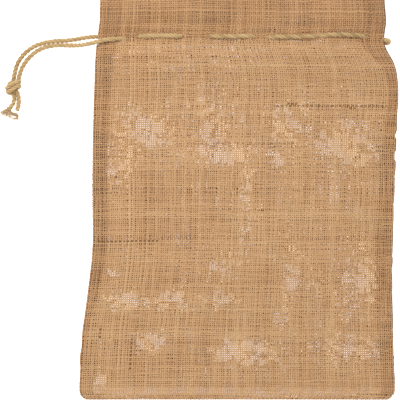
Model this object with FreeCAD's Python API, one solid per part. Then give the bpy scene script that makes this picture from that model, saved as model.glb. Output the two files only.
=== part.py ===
import FreeCAD, Part
import math
import os

from FreeCAD import Vector

# Drawstring gift pouch of open woven jute, lying flat on its back.
# Millimetres. +Z up, +Y towards the mouth, +X to the right of somebody looking down at the front.
# The origin is under the middle of the pouch, on the surface that it lies on.

# Pouch
HALF_LENGTH = 202.0         # the bottom fold is at -HALF_LENGTH, the mouth edge at +HALF_LENGTH
CORNER_RADIUS = 11.0        # rounded bottom corners
PLY = 0.8                   # thickness of one layer of cloth
PLY_GAP = 0.1               # air between layers that lie on each other
LEFT_EDGE = [(-191, -159.5), (-138, -156.5), (-90, -150.5), (-54, -146.5), (6, -146.5), (78, -145.5),
             (138, -142.5), (162, -139.5), (202, -138.0)]       # (y, x) down the left seam
RIGHT_EDGE = [(-191, 156.5), (-138, 154.5), (-54, 153.5), (18, 155.5), (78, 157.5), (106, 159.5),
              (134, 155.0), (153, 145.5), (176, 146.5), (202, 144.0)]   # (y, x) down the right seam

# Space between the layers
SEAM_STACK = 2.4            # two plies of seam allowance between front and back
HEM_STACK = 6.2             # the same at the hem, with turn-ins and four plies of allowance
FOLD_RADIUS = PLY + SEAM_STACK / 2      # outside of the bottom fold
CROWN = 5.5                 # how far the front stands above its edges in the middle
CROWN_POWER = 2.4
CROWN_LENGTH = 130.0        # the crown grows over this length from the bottom fold
RISE_FROM, RISE_TO = 98.0, 150.0    # here the back rises onto the drawcord that runs under it

# Hem and seams
HEM_DEPTH = 42.5
SEAM_ALLOWANCE = 14.5
ALLOWANCE_TOP = 151.5       # the allowances stop here, under the drawcord
THREAD_ROOM = 1.3           # the sewing thread runs in this strip, along the seam's edge
THREAD_WIDTH = 0.8
THREAD_INSET = 0.3
HEM_STRIP_FROM = 165.5      # the seam's plies and thread go on in the hem from here, above the drawcord
STRIP_ROOM = 0.4            # air between these strips and the front

# Drawcord
CORD = 4.6                  # diameter
REST = 0.2                  # air between cord and cloth
BACK_RISE = CORD + REST     # the back stands on the cord's back stitches
ARC_SHARE = 0.45            # share of the shorter run that an arc takes up
SLOT_LENGTH, SLOT_WIDTH = 17.0, 5.8

OVER, THROUGH, UNDER = "over", "through", "under"

# The drawcord's running stitch through the front, left to right: (x, y, level)
FRONT_STITCH = [(-99.0, 161.6, THROUGH), (-93.0, 161.4, OVER), (-78.0, 161.7, OVER), (-62.5, 161.4, OVER),
                (-56.5, 161.3, THROUGH)]
FRONT_RUN = [(-29.0, 161.0, THROUGH), (-23.0, 161.1, OVER), (-8.0, 160.8, OVER), (6.0, 161.1, OVER),
             (12.0, 161.0, THROUGH),
             (17.5, 160.8, UNDER), (28.0, 160.6, UNDER), (33.5, 160.5, THROUGH), (39.5, 160.6, OVER),
             (56.0, 160.4, OVER), (73.0, 160.9, OVER), (79.0, 161.4, THROUGH), (82.2, 161.9, THROUGH),
             (88.0, 162.6, OVER), (103.0, 162.9, OVER), (118.5, 162.1, OVER), (125.0, 161.3, THROUGH),
             (131.0, 159.8, UNDER), (138.0, 158.4, UNDER), (145.2, 157.6, UNDER)]
FRONT_SLOTS = [(-119.0, 160.0), (-98.0, 161.5), (-57.5, 161.3), (-28.0, 161.0), (11.0, 161.0),
               (34.5, 160.5), (80.6, 161.6), (124.0, 161.4)]

# The same through the back, left to right
BACK_RUN = [(-64.0, 161.5, THROUGH), (-58.0, 161.3, OVER), (-43.0, 161.7, OVER), (-28.0, 161.4, OVER),
            (-22.0, 161.6, THROUGH), (-16.5, 161.5, UNDER), (0.5, 161.2, UNDER), (6.0, 161.3, THROUGH),
            (12.0, 161.4, OVER), (25.0, 161.0, OVER), (38.0, 161.2, OVER), (44.0, 161.0, THROUGH),
            (49.5, 161.1, UNDER), (64.5, 160.9, UNDER), (70.0, 160.7, THROUGH), (76.0, 160.6, OVER),
            (83.0, 160.4, OVER), (90.0, 160.1, OVER), (96.0, 159.9, THROUGH), (101.5, 159.5, UNDER),
            (113.5, 158.9, UNDER), (119.0, 158.2, THROUGH), (125.0, 157.2, OVER), (135.0, 155.8, OVER),
            (145.2, 154.8, OVER)]
BACK_SLOTS = [(-97.0, 162.0), (-63.0, 161.5), (-23.0, 161.6), (7.0, 161.3), (43.0, 161.0), (71.0, 160.7),
              (95.0, 159.9), (120.0, 158.1)]

# Slack loop round the right seam: its two ends, and how far it stands out
LOOP_X = 145.6
LOOP_Y_FRONT, LOOP_Y_BACK = 157.5, 154.7

# Free end: two strands from the left seam to the knot, at CORD / 2 above the surface where z is FLOOR
FLOOR = CORD / 2
FRONT_STRAND = [(-120.5, 160.0, 14.6), (-130.0, 159.1, 17.4), (-144.5, 155.9, 16.2), (-157.0, 153.6, 8.4),
                (-168.5, 152.7, 2.9), (-182.0, 152.9, FLOOR), (-195.0, 150.6, FLOOR), (-206.0, 143.9, FLOOR),
                (-214.3, 134.4, FLOOR), (-218.6, 124.6, FLOOR), (-220.2, 116.5, 3.4)]
BACK_STRAND = [(-97.5, 162.0, 3.0), (-107.0, 162.2, FLOOR), (-127.0, 161.8, FLOOR), (-150.0, 160.6, FLOOR),
               (-169.0, 157.8, FLOOR), (-186.0, 157.3, FLOOR), (-203.0, 153.0, FLOOR), (-215.2, 143.9, FLOOR),
               (-222.4, 131.8, FLOOR), (-226.0, 117.5, 3.2)]
# Spare cord inside the hem, which follows the strands out when they are pulled
CHANNEL_Z = 10.2
FRONT_RESERVE = [(-111.0, 159.2, CHANNEL_Z), (-99.0, 156.4, CHANNEL_Z), (-77.0, 156.0, CHANNEL_Z),
                 (-49.0, 156.3, CHANNEL_Z), (-26.0, 156.0, CHANNEL_Z)]
BACK_RESERVE = [(-90.5, 161.5, CHANNEL_Z), (-70.0, 161.1, CHANNEL_Z), (-47.0, 161.4, CHANNEL_Z),
                (-26.0, 161.2, CHANNEL_Z)]
KNOT_CENTRE = (-225.0, 110.6, 6.3)
KNOT_SIZE = (16.5, 17.0, 12.4)
LEFT_TAIL = [(-225.8, 104.5, 3.4), (-225.6, 98.8, FLOOR), (-227.4, 92.8, FLOOR), (-230.6, 88.2, FLOOR)]
RIGHT_TAIL = [(-220.9, 105.5, 4.0), (-219.4, 99.5, FLOOR), (-219.7, 92.5, FLOOR), (-221.4, 87.0, FLOOR)]
TUFT_OUTLINE = [(-233.0, 89.8), (-228.2, 86.4), (-221.0, 84.0), (-221.2, 79.6), (-229.0, 81.2), (-237.2, 84.6)]
TUFT_HEIGHT = 4.0

TALL, WIDE = 40.0, 200.0    # more than the pouch's height and half its width, for cutting tools
FRONT_STATIONS = [-214, -192, -165, -130, -90, -50, -10, 30, 66, 98, 111, 124, 137, 150, 163, 180, 196, 212]
FRONT_COLUMNS = 13          # the front's surface passes through this many points at each station


def ease(t):
    """0 before t = 0, 1 after t = 1, and smooth between."""
    t = min(max(t, 0.0), 1.0)
    return t * t * (3 - 2 * t)


def smooth_curve(points):
    curve = Part.BSplineCurve()
    curve.interpolate([Vector(*p) for p in points])
    return curve.toShape()


def seam_curve(edge):
    """A seam seen from above, as a smooth curve through its (y, x) points."""
    return smooth_curve([(x, y, 0) for y, x in edge])


def edge_x(edge, y):
    """Where a seam is at y. Beyond its ends it goes on straight up or down."""
    y = min(max(y, edge[0][0]), edge[-1][0])
    line = Part.LineSegment(Vector(-WIDE, y, 0), Vector(WIDE, y, 0))
    return seam_curve(edge).distToShape(line.toShape())[1][0][0].x


def hem_share(y):
    """0 on the body of the pouch, 1 on the hem, and between the two where the back rises."""
    return ease((y - RISE_FROM) / (RISE_TO - RISE_FROM))


def back_under(y):
    """Height of the back's lower face."""
    return BACK_RISE * hem_share(y)


def front_under(x, y, left, right):
    """Height of the front's lower face, with the seams at left and right."""
    across = abs(2 * (x - left) / (right - left) - 1)
    crown = CROWN * ease((y + HALF_LENGTH) / CROWN_LENGTH) * (1 - across ** CROWN_POWER)
    stack = SEAM_STACK + (HEM_STACK - SEAM_STACK) * hem_share(y)
    return back_under(y) + PLY + stack + crown


def outline_face():
    """The pouch seen from above, with its rounded bottom corners."""
    left_low = Vector(LEFT_EDGE[0][1], LEFT_EDGE[0][0], 0)
    right_low = Vector(RIGHT_EDGE[0][1], RIGHT_EDGE[0][0], 0)
    slant = CORNER_RADIUS * (1 - math.sqrt(0.5))
    left_foot = Vector(left_low.x + CORNER_RADIUS, -HALF_LENGTH, 0)
    right_foot = Vector(right_low.x - CORNER_RADIUS, -HALF_LENGTH, 0)
    left_corner = Part.Arc(left_low, Vector(left_low.x + slant, -HALF_LENGTH + slant, 0), left_foot)
    right_corner = Part.Arc(right_foot, Vector(right_low.x - slant, -HALF_LENGTH + slant, 0), right_low)
    bottom = Part.LineSegment(left_foot, right_foot)
    mouth = Part.LineSegment(Vector(LEFT_EDGE[-1][1], HALF_LENGTH, 0), Vector(RIGHT_EDGE[-1][1], HALF_LENGTH, 0))
    edges = [c.toShape() for c in (left_corner, bottom, right_corner, mouth)]
    edges += [seam_curve(LEFT_EDGE), seam_curve(RIGHT_EDGE)]
    return Part.Face(Part.Wire(Part.__sortEdges__(edges)))


def inside(solid, outline):
    """What of a solid is inside the pouch's outline."""
    return solid.common(outline.extrude(Vector(0, 0, TALL)))


def block(x0, x1, y0, y1, z0=0.0, z1=TALL):
    return Part.makeBox(x1 - x0, y1 - y0, z1 - z0, Vector(x0, y0, z0))


def rising_line(y0, y1, lift):
    """Edges in the YZ plane from y0 to y1 that follow the back: flat, two tangent arcs, flat."""
    def at(y, z):
        return Vector(0, y, z + lift)

    half = (RISE_TO - RISE_FROM) / 2
    radius = (half ** 2 + (BACK_RISE / 2) ** 2) / BACK_RISE
    bow = radius - math.sqrt(radius ** 2 - (half / 2) ** 2)
    middle = at(RISE_FROM + half, BACK_RISE / 2)
    edges = []
    if y0 < RISE_FROM:
        edges.append(Part.LineSegment(at(y0, 0), at(RISE_FROM, 0)))
        edges.append(Part.Arc(at(RISE_FROM, 0), at(RISE_FROM + half / 2, bow), middle))
        edges.append(Part.Arc(middle, at(RISE_TO - half / 2, BACK_RISE - bow), at(RISE_TO, BACK_RISE)))
    edges.append(Part.LineSegment(at(max(y0, RISE_TO), BACK_RISE), at(y1, BACK_RISE)))
    return [e.toShape() for e in edges]


def back_layer(y0, y1, lift, thickness):
    """A layer that follows the back, across the whole width, from lift to lift + thickness above its lower face."""
    low = rising_line(y0, y1, lift)
    high = rising_line(y0, y1, lift + thickness)
    ends = []
    for y in (y0, y1):
        z = BACK_RISE if y >= RISE_TO else 0.0
        start, end = Vector(0, y, z + lift), Vector(0, y, z + lift + thickness)
        ends.append(Part.LineSegment(start, end).toShape())
    section = Part.Face(Part.Wire(Part.__sortEdges__(low + high + ends)))
    wide = section.extrude(Vector(2 * WIDE, 0, 0))
    wide.translate(Vector(-WIDE, 0, 0))
    return wide


def front_layer(drop, thickness):
    """A layer that follows the front's lower face, drop below it, a little wider than the pouch."""
    rows = []
    for y in FRONT_STATIONS:
        left, right = edge_x(LEFT_EDGE, y), edge_x(RIGHT_EDGE, y)
        row = []
        for n in range(FRONT_COLUMNS):
            x = left + (right - left) * (-0.05 + 1.1 * n / (FRONT_COLUMNS - 1))
            row.append(Vector(x, y, front_under(x, y, left, right) - drop))
        rows.append(row)
    surface = Part.BSplineSurface()
    surface.interpolate(rows)
    return surface.toShape().extrude(Vector(0, 0, thickness))


def slots(places):
    """Openings through a layer where the drawcord passes."""
    boxes = [block(x - SLOT_LENGTH / 2, x + SLOT_LENGTH / 2, y - SLOT_WIDTH / 2, y + SLOT_WIDTH / 2)
             for x, y in places]
    return Part.makeCompound(boxes)


def back_panel(outline):
    layer = back_layer(-HALF_LENGTH + FOLD_RADIUS, HALF_LENGTH, 0.0, PLY)
    return inside(layer, outline).cut(slots(BACK_SLOTS))


def front_panel(outline):
    layer = front_layer(0.0, PLY).common(block(-WIDE, WIDE, -HALF_LENGTH + FOLD_RADIUS, HALF_LENGTH))
    return inside(layer, outline).cut(slots(FRONT_SLOTS))


def hem_turn_in_back(outline):
    layer = back_layer(HALF_LENGTH - HEM_DEPTH, HALF_LENGTH, PLY + PLY_GAP, PLY)
    return inside(layer, outline).cut(slots(BACK_SLOTS))


def hem_turn_in_front(outline):
    layer = front_layer(PLY + PLY_GAP, PLY)
    layer = layer.common(block(-WIDE, WIDE, HALF_LENGTH - HEM_DEPTH, HALF_LENGTH))
    return inside(layer, outline).cut(slots(FRONT_SLOTS))


def bottom_fold(outline):
    """The cloth's turn from back to front: half a tube along the bottom."""
    start, along = Vector(-WIDE, -HALF_LENGTH + FOLD_RADIUS, FOLD_RADIUS), Vector(1, 0, 0)
    outer = Part.makeCylinder(FOLD_RADIUS, 2 * WIDE, start, along)
    inner = Part.makeCylinder(FOLD_RADIUS - PLY, 2 * WIDE, start, along)
    half = block(-WIDE, WIDE, -HALF_LENGTH, -HALF_LENGTH + FOLD_RADIUS)
    return inside(outer.cut(inner).common(half), outline)


def seam_strip(side, y0, y1, near, far, z0, z1):
    """A strip beside a seam, from near to far inside its edge, between two heights above the back's lower face."""
    edge = LEFT_EDGE if side < 0 else RIGHT_EDGE
    stations = [y0 + (y1 - y0) * n / 8 for n in range(9)]
    wires = [smooth_curve([(edge_x(edge, y) - side * offset, y, 0) for y in stations]) for offset in (near, far)]
    ends = [Part.LineSegment(wires[0].Vertexes[n].Point, wires[1].Vertexes[n].Point).toShape() for n in (0, 1)]
    strip = Part.Face(Part.Wire(Part.__sortEdges__(wires + ends))).extrude(Vector(0, 0, TALL))
    return back_layer(y0, y1, z0, z1 - z0).common(strip)


def body_strip(side, y0, near, far):
    """A strip between back and front, from y0 up to the drawcord."""
    return seam_strip(side, y0, ALLOWANCE_TOP, near, far, PLY + PLY_GAP, PLY + SEAM_STACK - STRIP_ROOM)


def hem_strip(side, near, far):
    """A strip between the hem's two turn-ins, from the drawcord up to the mouth."""
    low, high = 2 * (PLY + PLY_GAP), HEM_STACK - PLY_GAP - STRIP_ROOM
    return seam_strip(side, HEM_STRIP_FROM, HALF_LENGTH - 1.0, near, far, low, high)


def seam_allowance(side):
    return body_strip(side, -199.0, THREAD_ROOM, SEAM_ALLOWANCE)


def seam_thread(side):
    return body_strip(side, -190.0, THREAD_INSET, THREAD_INSET + THREAD_WIDTH)


def hem_corner(side):
    """The four plies of seam allowance in the hem."""
    return hem_strip(side, THREAD_ROOM, SEAM_ALLOWANCE)


def hem_thread(side):
    return hem_strip(side, THREAD_INSET, THREAD_INSET + THREAD_WIDTH)


def front_level(x, y, level):
    """Height of the drawcord's centre on the front: over it, through it or under it."""
    left, right = edge_x(LEFT_EDGE, y), edge_x(RIGHT_EDGE, y)
    under = front_under(x, y, left, right)
    away = CORD / 2 + REST
    heights = {OVER: under + PLY + away, UNDER: under - PLY - PLY_GAP - away}
    return heights.get(level, (heights[OVER] + heights[UNDER]) / 2)


def back_level(x, y, level):
    """The same on the back, where over means outside, on the surface that the pouch lies on."""
    heights = {OVER: CORD / 2, UNDER: BACK_RISE + 2 * PLY + PLY_GAP + CORD / 2 + REST}
    return heights.get(level, (heights[OVER] + heights[UNDER]) / 2)


def routed(run, height):
    return [Vector(x, y, height(x, y, level)) for x, y, level in run]


def tube(name, points, diameter=CORD):
    """A cord along straight runs joined by tangent arcs. Prints its radii and compares its volume."""
    points = [Vector(*p) for p in points]
    edges, start, radii = [], points[0], []
    for before, corner, after in zip(points, points[1:], points[2:]):
        into, out = corner - before, after - corner
        turn = into.getAngle(out)
        cut = ARC_SHARE * min(into.Length, out.Length)
        radius = cut / math.tan(turn / 2)
        radii.append(radius)
        into.normalize()
        out.normalize()
        first, last = corner - into * cut, corner + out * cut
        inward = out - into
        inward.normalize()
        centre = corner + inward * math.hypot(radius, cut)
        middle = centre - inward * radius
        edges.append(Part.LineSegment(start, first).toShape())
        edges.append(Part.Arc(first, middle, last).toShape())
        start = last
    edges.append(Part.LineSegment(start, points[-1]).toShape())
    path = Part.Wire(edges)
    direction = points[1] - points[0]
    ring = Part.Wire(Part.makeCircle(diameter / 2, points[0], direction))
    solid = path.makePipeShell([ring], True, False)
    expected = math.pi * diameter ** 2 / 4 * path.Length
    print(f"{name}: length {path.Length:.1f} mm, tightest radius {min(radii):.1f}, radii "
          + " ".join(f"{r:.0f}" for r in radii)
          + f", volume {solid.Volume / expected:.3f} of section times length")
    return solid


def side_loop():
    """The slack loop round the right seam, from the front run's end to the back run's end."""
    front = Vector(LOOP_X, LOOP_Y_FRONT, front_level(LOOP_X - 0.4, LOOP_Y_FRONT, UNDER))
    back = Vector(LOOP_X, LOOP_Y_BACK, CORD / 2)
    radius = (front - back).Length / 2
    middle = (front + back) * 0.5 + Vector(radius, 0, 0)
    path = Part.Wire([Part.Arc(front, middle, back).toShape()])
    ring = Part.Wire(Part.makeCircle(CORD / 2, front, Vector(1, 0, 0)))
    print(f"drawcord_side_loop: radius {radius:.2f} mm, length {path.Length:.1f} mm")
    return path.makePipeShell([ring], True, False)


def knot():
    """The overall shape of the overhand knot in the doubled cord."""
    stretch = FreeCAD.Matrix()
    stretch.scale(*[size / 2 for size in KNOT_SIZE])
    ball = Part.makeSphere(1.0).transformGeometry(stretch)
    ball.translate(Vector(*KNOT_CENTRE))
    return ball


def frayed_tuft():
    corners = [Vector(x, y, 0) for x, y in TUFT_OUTLINE]
    face = Part.Face(Part.makePolygon(corners + corners[:1]))
    return face.extrude(Vector(0, 0, TUFT_HEIGHT))


def build():
    outline = outline_face()
    return {
        "back_panel": back_panel(outline),
        "front_panel": front_panel(outline),
        "bottom_fold": bottom_fold(outline),
        "hem_turn_in_back": hem_turn_in_back(outline),
        "hem_turn_in_front": hem_turn_in_front(outline),
        "seam_allowance_left": seam_allowance(-1),
        "seam_allowance_right": seam_allowance(1),
        "seam_thread_left": seam_thread(-1),
        "seam_thread_right": seam_thread(1),
        "hem_corner_left": hem_corner(-1),
        "hem_corner_right": hem_corner(1),
        "hem_thread_left": hem_thread(-1),
        "hem_thread_right": hem_thread(1),
        "drawcord_front_stitch": tube("drawcord_front_stitch", routed(FRONT_STITCH, front_level)),
        "drawcord_front_run": tube("drawcord_front_run", routed(FRONT_RUN, front_level)),
        "drawcord_back_run": tube("drawcord_back_run", routed(BACK_RUN, back_level)),
        "drawcord_side_loop": side_loop(),
        "strand_front": tube("strand_front", FRONT_STRAND),
        "strand_back": tube("strand_back", BACK_STRAND),
        "channel_cord_front": tube("channel_cord_front", FRONT_RESERVE),
        "channel_cord_back": tube("channel_cord_back", BACK_RESERVE),
        "knot": knot(),
        "tail_left": tube("tail_left", LEFT_TAIL),
        "tail_right": tube("tail_right", RIGHT_TAIL),
        "frayed_tuft": frayed_tuft(),
    }


def main():
    os.makedirs("parts", exist_ok=True)
    for name, shape in build().items():
        good = shape.isValid() and len(shape.Solids) == 1
        box = shape.optimalBoundingBox()
        print(f"{name}: {'ok' if good else 'BAD'}, {len(shape.Solids)} solid, {shape.Volume:.1f} mm3, "
              f"x {box.XMin:.1f} to {box.XMax:.1f}, y {box.YMin:.1f} to {box.YMax:.1f}, "
              f"z {box.ZMin:.2f} to {box.ZMax:.2f}")
        shape.Solids[0].exportStep(f"parts/{name}.step")


main()
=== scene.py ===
import math
from functools import partial

import bpy
import numpy as np
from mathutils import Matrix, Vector


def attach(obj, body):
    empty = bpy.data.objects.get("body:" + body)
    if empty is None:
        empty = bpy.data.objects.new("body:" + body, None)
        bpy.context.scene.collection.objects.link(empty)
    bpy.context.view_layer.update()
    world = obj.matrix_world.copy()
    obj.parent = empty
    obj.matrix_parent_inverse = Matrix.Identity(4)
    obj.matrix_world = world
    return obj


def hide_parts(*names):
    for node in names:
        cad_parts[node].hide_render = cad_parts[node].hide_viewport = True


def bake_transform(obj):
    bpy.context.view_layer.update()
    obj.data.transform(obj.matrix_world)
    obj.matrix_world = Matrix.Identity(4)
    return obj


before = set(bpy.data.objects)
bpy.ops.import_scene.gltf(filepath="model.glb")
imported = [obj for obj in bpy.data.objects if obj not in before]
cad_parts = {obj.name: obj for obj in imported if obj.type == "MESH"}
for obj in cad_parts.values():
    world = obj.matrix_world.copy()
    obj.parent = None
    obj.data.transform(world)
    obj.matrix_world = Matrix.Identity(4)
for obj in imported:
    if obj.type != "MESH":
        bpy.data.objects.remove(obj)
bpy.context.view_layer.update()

# Pouch, as the CAD model has it
HALF_LENGTH = 0.202
CORNER_RADIUS = 0.011
PLY, PLY_GAP = 0.0008, 0.0001
LEFT_EDGE = [(-0.191, -0.1595), (-0.138, -0.1565), (-0.09, -0.1505), (-0.054, -0.1465), (0.006, -0.1465),
             (0.078, -0.1455), (0.138, -0.1425), (0.162, -0.1395), (0.202, -0.138)]     # (y, x)
RIGHT_EDGE = [(-0.191, 0.1565), (-0.138, 0.1545), (-0.054, 0.1535), (0.018, 0.1555), (0.078, 0.1575),
              (0.106, 0.1595), (0.134, 0.155), (0.153, 0.1455), (0.176, 0.1465), (0.202, 0.144)]
SEAM_STACK, HEM_STACK = 0.0024, 0.0062
CROWN, CROWN_POWER, CROWN_LENGTH = 0.0055, 2.4, 0.130
RISE_FROM, RISE_TO = 0.098, 0.150
HEM_DEPTH = 0.0425
SEAM_ALLOWANCE = 0.0145
ALLOWANCE_TOP, HEM_STRIP_FROM = 0.1515, 0.1655

# Drawcord, as the CAD model has it
CORD = 0.0046
REST = 0.0002
BACK_RISE = CORD + REST
FLOOR = CORD / 2
OVER, THROUGH, UNDER = "over", "through", "under"
FRONT_STITCH = [(-0.099, 0.1616, THROUGH), (-0.093, 0.1614, OVER), (-0.078, 0.1617, OVER),
                (-0.0625, 0.1614, OVER), (-0.0565, 0.1613, THROUGH)]
FRONT_RUN = [(-0.029, 0.161, THROUGH), (-0.023, 0.1611, OVER), (-0.008, 0.1608, OVER),
             (0.006, 0.1611, OVER), (0.012, 0.161, THROUGH), (0.0175, 0.1608, UNDER),
             (0.028, 0.1606, UNDER), (0.0335, 0.1605, THROUGH), (0.0395, 0.1606, OVER),
             (0.056, 0.1604, OVER), (0.073, 0.1609, OVER), (0.079, 0.1614, THROUGH),
             (0.0822, 0.1619, THROUGH), (0.088, 0.1626, OVER), (0.103, 0.1629, OVER),
             (0.1185, 0.1621, OVER), (0.125, 0.1613, THROUGH), (0.131, 0.1598, UNDER),
             (0.138, 0.1584, UNDER), (0.1452, 0.1576, UNDER)]
FRONT_HOLES = [(-0.1215, 0.1586), (-0.099, 0.1616), (-0.0565, 0.1613), (-0.029, 0.161), (0.0125, 0.161),
               (0.033, 0.1605), (0.0806, 0.1616), (0.1255, 0.1613)]
BACK_RUN = [(-0.064, 0.1615, THROUGH), (-0.058, 0.1613, OVER), (-0.043, 0.1617, OVER),
            (-0.028, 0.1614, OVER), (-0.022, 0.1616, THROUGH), (-0.0165, 0.1615, UNDER),
            (0.0005, 0.1612, UNDER), (0.006, 0.1613, THROUGH), (0.012, 0.1614, OVER),
            (0.025, 0.161, OVER), (0.038, 0.1612, OVER), (0.044, 0.161, THROUGH),
            (0.0495, 0.1611, UNDER), (0.0645, 0.1609, UNDER), (0.07, 0.1607, THROUGH),
            (0.076, 0.1606, OVER), (0.083, 0.1604, OVER), (0.09, 0.1601, OVER), (0.096, 0.1599, THROUGH),
            (0.1015, 0.1595, UNDER), (0.1135, 0.1589, UNDER), (0.119, 0.1582, THROUGH),
            (0.125, 0.1572, OVER), (0.135, 0.1558, OVER), (0.1452, 0.1548, OVER)]
BACK_HOLES = [(-0.0975, 0.162), (-0.0635, 0.1615), (-0.0225, 0.1616), (0.0065, 0.1613), (0.0435, 0.161),
              (0.0705, 0.1607), (0.0955, 0.1599), (0.1195, 0.1581)]
# The turn round the right seam: (x, y, share of the rise from back to front)
LOOP_TURN = [(0.1496, 0.1575, 0.85), (0.1502, 0.1562, 0.5), (0.1496, 0.1548, 0.15)]
FRONT_STRAND = [(-0.1205, 0.1587, 0.0146), (-0.13, 0.1583, 0.0174), (-0.1445, 0.1547, 0.0162),
                (-0.157, 0.1524, 0.0084), (-0.1685, 0.1523, 0.0029), (-0.182, 0.1529, FLOOR),
                (-0.195, 0.1506, FLOOR), (-0.206, 0.1439, FLOOR), (-0.2143, 0.1344, FLOOR),
                (-0.2186, 0.1246, FLOOR), (-0.2202, 0.1165, 0.0034)]
BACK_STRAND = [(-0.0975, 0.162, 0.003), (-0.107, 0.1622, FLOOR), (-0.127, 0.1618, FLOOR),
               (-0.15, 0.1611, FLOOR), (-0.169, 0.1573, FLOOR), (-0.186, 0.1571, FLOOR),
               (-0.203, 0.153, FLOOR), (-0.2152, 0.1439, FLOOR), (-0.2229, 0.1318, FLOOR),
               (-0.225, 0.1175, 0.0032)]
# Cord inside the hem that follows each strand out, from where the strand starts
CHANNEL_Z = 0.0102
FRONT_RESERVE = [FRONT_STRAND[0], (-0.1165, 0.159, 0.0136), (-0.111, 0.1592, CHANNEL_Z),
                 (-0.099, 0.1564, CHANNEL_Z), (-0.077, 0.156, CHANNEL_Z), (-0.049, 0.1563, CHANNEL_Z),
                 (-0.026, 0.156, CHANNEL_Z)]
BACK_RESERVE = [BACK_STRAND[0], (-0.0945, 0.1618, 0.0045), (-0.0905, 0.1615, CHANNEL_Z),
                (-0.07, 0.1611, CHANNEL_Z), (-0.047, 0.1614, CHANNEL_Z), (-0.026, 0.1612, CHANNEL_Z)]
LEFT_TAIL = [(-0.2243, 0.1045, 0.0034), (-0.2238, 0.0990, FLOOR), (-0.2257, 0.0930, FLOOR),
             (-0.2300, 0.0886, FLOOR)]
RIGHT_TAIL = [(-0.2209, 0.1055, 0.004), (-0.2194, 0.0995, FLOOR), (-0.2197, 0.0925, FLOOR),
              (-0.2214, 0.087, FLOOR)]

# Each strand's way through the overhand knot, from its free strand to its tail, and a short length of
# cord beneath their wraps
KNOT_WAYS = {
    "front": [(-0.2202, 0.1165, 0.0034), (-0.2212, 0.1125, 0.0036), (-0.2262, 0.1075, 0.0038),
              (-0.2318, 0.1050, 0.0062), (-0.2282, 0.1068, 0.0099), (-0.2225, 0.1108, 0.0103),
              (-0.2188, 0.1128, 0.0072), (-0.2200, 0.1105, 0.0036), (-0.2238, 0.1082, 0.0042),
              (-0.2219, 0.1062, 0.0046), (-0.2209, 0.1055, 0.0040)],
    "back": [(-0.2250, 0.1175, 0.0032), (-0.2256, 0.1135, 0.0034), (-0.2292, 0.1098, 0.0040),
             (-0.2323, 0.1094, 0.0066), (-0.2285, 0.1118, 0.0100), (-0.2228, 0.1152, 0.0098),
             (-0.2183, 0.1172, 0.0068), (-0.2196, 0.1148, 0.0036), (-0.2240, 0.1105, 0.0040),
             (-0.2246, 0.1070, 0.0040), (-0.2243, 0.1045, 0.0034)],
    "bight": [(-0.2232, 0.1168, 0.0034), (-0.2282, 0.1152, 0.0033), (-0.2306, 0.1110, 0.0034),
              (-0.2300, 0.1060, 0.0034), (-0.2272, 0.1038, 0.0034), (-0.2240, 0.1050, 0.0036)],
}


def ease(t):
    """0 before t = 0, 1 after t = 1, and smooth between."""
    t = np.clip(t, 0.0, 1.0)
    return t * t * (3 - 2 * t)


def edge_x(edge, y):
    """Where a seam is at y: a smooth curve through its points, with a round bottom corner."""
    ys, xs = np.array(edge).T
    slopes = np.gradient(xs, ys)
    at = np.clip(y, ys[0], ys[-1])
    n = np.clip(np.searchsorted(ys, at) - 1, 0, len(ys) - 2)
    span = ys[n + 1] - ys[n]
    t = (at - ys[n]) / span
    x = (xs[n] * (1 + 2 * t) * (1 - t) ** 2 + xs[n + 1] * t * t * (3 - 2 * t)
         + span * (slopes[n] * t * (1 - t) ** 2 - slopes[n + 1] * t * t * (1 - t)))
    below = np.clip(ys[0] - y, 0, CORNER_RADIUS)
    inset = CORNER_RADIUS - np.sqrt(CORNER_RADIUS ** 2 - below ** 2)
    return x - np.sign(xs[0]) * inset


def hem_share(y):
    return ease((y - RISE_FROM) / (RISE_TO - RISE_FROM))


def front_under(x, y, left, right):
    """Height of the front's lower face in the CAD model."""
    across = np.clip(np.abs(2 * (x - left) / (right - left) - 1), 0, 1)
    crown = CROWN * ease((y + HALF_LENGTH) / CROWN_LENGTH) * (1 - across ** CROWN_POWER)
    stack = SEAM_STACK + (HEM_STACK - SEAM_STACK) * hem_share(y)
    return BACK_RISE * hem_share(y) + PLY + stack + crown


def front_level(x, y, level):
    """Height of the drawcord's centre on the front."""
    under = float(front_under(x, y, edge_x(LEFT_EDGE, y), edge_x(RIGHT_EDGE, y)))
    away = CORD / 2 + REST
    heights = {OVER: under + PLY + away, UNDER: under - PLY - PLY_GAP - away}
    return heights.get(level, (heights[OVER] + heights[UNDER]) / 2)


def back_level(x, y, level):
    """Height of the drawcord's centre on the back."""
    heights = {OVER: CORD / 2, UNDER: BACK_RISE + 2 * PLY + PLY_GAP + CORD / 2 + REST}
    return heights.get(level, (heights[OVER] + heights[UNDER]) / 2)


def routed(run, height):
    return [(x, y, height(x, y, level)) for x, y, level in run]


# Camera: straight above, as the picture was taken
CAMERA_PLACE = (-0.0385, -0.002, 4.0)
PICTURE_WIDTH = 0.400
CAMERA_SENSOR = 36.0


def make_camera():
    data = bpy.data.cameras.new("camera")
    data.sensor_width = CAMERA_SENSOR
    data.lens = CAMERA_SENSOR * CAMERA_PLACE[2] / PICTURE_WIDTH
    camera = bpy.data.objects.new("camera", data)
    camera.location = CAMERA_PLACE
    bpy.context.scene.collection.objects.link(camera)
    bpy.context.scene.camera = camera


make_camera()

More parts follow.
